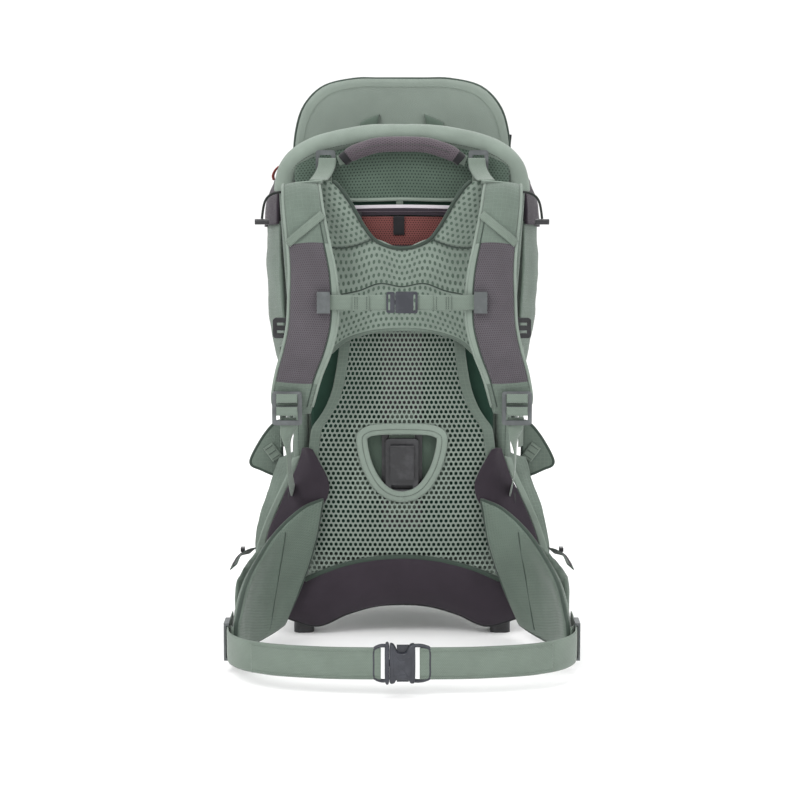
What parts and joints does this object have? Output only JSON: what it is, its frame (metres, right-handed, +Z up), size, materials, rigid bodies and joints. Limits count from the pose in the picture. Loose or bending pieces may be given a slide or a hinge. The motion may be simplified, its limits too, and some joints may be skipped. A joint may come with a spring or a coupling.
{
  "type": "child carrier backpack",
  "caption": "Framed child carrier backpack with padded harness, suspended mesh back, buckled hip belt, cockpit, seat and folding kickstand.",
  "frame": {"origin": "on the ground, under the centre of the object's bounding box", "axes": "+Z up, -Y towards the wearer (harness side), +Y towards the child and bag side, +X to the right when looking at the harness"},
  "size_m": [0.428, 0.4905, 0.72],
  "materials": {
    "frame_aluminium": "satin",
    "steel_pin": "satin",
    "black_plastic": "matte",
    "kickstand_rubber": "matte",
    "grey_plastic": "matte",
    "sage_fabric": "matte",
    "sage_spacer_mesh": "matte",
    "sage_open_mesh": "matte",
    "dark_sage_fabric": "matte",
    "plum_fabric": "matte",
    "grey_mesh_fabric": "matte",
    "sage_webbing": "matte",
    "green_fabric": "matte",
    "red_fabric": "matte",
    "dark_cord": "matte"
  },
  "bodies": {
    "frame": {"child_harness_buckle": "black_plastic", "child_harness_pads": "green_fabric", "cord_toggles": "black_plastic", "cross_stays": "frame_aluminium", "elastic_cord_left": "dark_cord", "elastic_cord_right": "dark_cord", "frame_feet": "black_plastic", "hinge_brackets": "black_plastic", "hinge_pins": "steel_pin", "hip_buckle_socket": "grey_plastic", "hip_pocket_left": "sage_fabric", "hip_pocket_right": "sage_fabric", "hip_sliders": "grey_plastic", "hip_webbing_left": "sage_webbing", "hip_webbing_right": "sage_webbing", "hip_wing_left": "sage_spacer_mesh", "hip_wing_right": "sage_spacer_mesh", "load_lifter_buckles": "grey_plastic", "lower_bag": "sage_fabric", "lumbar_panel": "plum_fabric", "main_frame": "frame_aluminium", "rear_panel": "sage_fabric", "rear_stay": "frame_aluminium", "reservoir_pocket": "red_fabric", "rim_pad": "sage_fabric", "side_buckles": "black_plastic", "side_panel_left": "sage_fabric", "side_panel_right": "sage_fabric", "stirrup_straps": "sage_webbing", "suspended_mesh": "sage_open_mesh", "torso_buckle": "black_plastic", "torso_plate": "black_plastic", "upper_panel": "dark_sage_fabric"},
    "kickstand": {"kickstand_tube": "frame_aluminium", "kickstand_feet": "kickstand_rubber"},
    "harness": {"yoke_panel": "sage_spacer_mesh", "shoulder_pad_left": "grey_mesh_fabric", "shoulder_pad_right": "grey_mesh_fabric", "lower_straps": "sage_webbing", "load_lifter_straps": "sage_webbing"},
    "shoulder_buckle_left": {"shoulder_buckle_left": "grey_plastic"},
    "shoulder_buckle_right": {"shoulder_buckle_right": "grey_plastic"},
    "sternum_strap": {"sternum_clips": "grey_plastic", "sternum_strap_left": "sage_webbing", "sternum_strap_right": "sage_webbing", "sternum_buckle_socket": "grey_plastic"},
    "sternum_plug": {"sternum_buckle_plug": "grey_plastic"},
    "sternum_prong_upper": {"sternum_prong_upper": "grey_plastic"},
    "sternum_prong_lower": {"sternum_prong_lower": "grey_plastic"},
    "hip_plug": {"hip_buckle_plug": "grey_plastic"},
    "hip_prong_upper": {"hip_prong_upper": "grey_plastic"},
    "hip_prong_lower": {"hip_prong_lower": "grey_plastic"},
    "torso_lever": {"torso_lever": "black_plastic"},
    "grab_handle": {"grab_handle": "plum_fabric"},
    "seat": {"child_seat": "green_fabric"},
    "stirrup_left": {"stirrup_left": "sage_fabric"},
    "stirrup_right": {"stirrup_right": "sage_fabric"},
    "hip_zip_pull_left": {"hip_zip_pull_left": "dark_cord"},
    "hip_zip_pull_right": {"hip_zip_pull_right": "dark_cord"},
    "reservoir_zip_pull": {"reservoir_zip_pull": "dark_cord"}
  },
  "joints": [
    {"name": "kickstand_fold", "type": "hinge", "parent": "frame", "child": "kickstand", "pos_m": [0, 0.089, 0.17], "axis": [-1, 0, 0], "range_deg": [0, 43]},
    {"name": "harness_height", "type": "slide", "parent": "frame", "child": "harness", "axis": [0, 0, 1], "range_m": [-0.08, 0], "deforming": ["load_lifter_straps", "lower_straps"]},
    {"name": "shoulder_buckle_left_tilt", "type": "hinge", "parent": "harness", "child": "shoulder_buckle_left", "pos_m": [-0.142, -0.0495, 0.327], "axis": [-1, 0, 0], "range_deg": [0, 40]},
    {"name": "shoulder_buckle_right_tilt", "type": "hinge", "parent": "harness", "child": "shoulder_buckle_right", "pos_m": [0.142, -0.0495, 0.327], "axis": [-1, 0, 0], "range_deg": [0, 40]},
    {"name": "sternum_strap_height", "type": "slide", "parent": "harness", "child": "sternum_strap", "axis": [0, 0, 1], "range_m": [-0.02, 0.02]},
    {"name": "sternum_buckle_release", "type": "slide", "parent": "sternum_strap", "child": "sternum_plug", "axis": [-1, 0, 0], "range_m": [0, 0.02], "deforming": ["sternum_strap_left"]},
    {"name": "sternum_prong_upper_squeeze", "type": "hinge", "parent": "sternum_plug", "child": "sternum_prong_upper", "pos_m": [-0.0087, -0.058, 0.44854], "axis": [0, 1, 0], "range_deg": [0, 5], "stiffness_Nm_per_rad": 0.02},
    {"name": "sternum_prong_lower_squeeze", "type": "hinge", "parent": "sternum_plug", "child": "sternum_prong_lower", "pos_m": [-0.0087, -0.058, 0.43346], "axis": [0, -1, 0], "range_deg": [0, 5], "stiffness_Nm_per_rad": 0.02},
    {"name": "hip_buckle_release", "type": "slide", "parent": "frame", "child": "hip_plug", "axis": [-1, 0, 0], "range_m": [0, 0.045], "deforming": ["hip_webbing_left"]},
    {"name": "hip_prong_upper_squeeze", "type": "hinge", "parent": "hip_plug", "child": "hip_prong_upper", "pos_m": [-0.015, -0.239, 0.053], "axis": [0, 1, 0], "range_deg": [0, 5], "stiffness_Nm_per_rad": 0.05},
    {"name": "hip_prong_lower_squeeze", "type": "hinge", "parent": "hip_plug", "child": "hip_prong_lower", "pos_m": [-0.015, -0.239, 0.027], "axis": [0, -1, 0], "range_deg": [0, 5], "stiffness_Nm_per_rad": 0.05},
    {"name": "torso_lever_open", "type": "hinge", "parent": "frame", "child": "torso_lever", "pos_m": [0, 0.0235, 0.248], "axis": [-1, 0, 0], "range_deg": [0, 60], "stiffness_Nm_per_rad": 0.02},
    {"name": "grab_handle_flop", "type": "hinge", "parent": "frame", "child": "grab_handle", "pos_m": [0, 0.037, 0.608], "axis": [1, 0, 0], "range_deg": [0, 95]},
    {"name": "seat_height", "type": "slide", "parent": "frame", "child": "seat", "axis": [0, 0, 1], "range_m": [-0.03, 0.06]},
    {"name": "stirrup_left_height", "type": "slide", "parent": "frame", "child": "stirrup_left", "axis": [0, 0, 1], "range_m": [0, 0.05]},
    {"name": "stirrup_right_height", "type": "slide", "parent": "frame", "child": "stirrup_right", "axis": [0, 0, 1], "range_m": [0, 0.05]},
    {"name": "hip_zip_left_pull", "type": "slide", "parent": "frame", "child": "hip_zip_pull_left", "axis": [-0.12, -0.9928, 0], "range_m": [0, 0.036]},
    {"name": "hip_zip_right_pull", "type": "slide", "parent": "frame", "child": "hip_zip_pull_right", "axis": [0.12, -0.9928, 0], "range_m": [0, 0.036]},
    {"name": "reservoir_zip_pull_slide", "type": "slide", "parent": "frame", "child": "reservoir_zip_pull", "axis": [1, 0, 0], "range_m": [0, 0.105]}
  ],
  "couplings": [
    {"joint": "sternum_prong_lower_squeeze", "follows": "sternum_prong_upper_squeeze", "ratio": 1},
    {"joint": "hip_prong_lower_squeeze", "follows": "hip_prong_upper_squeeze", "ratio": 1}
  ]
}
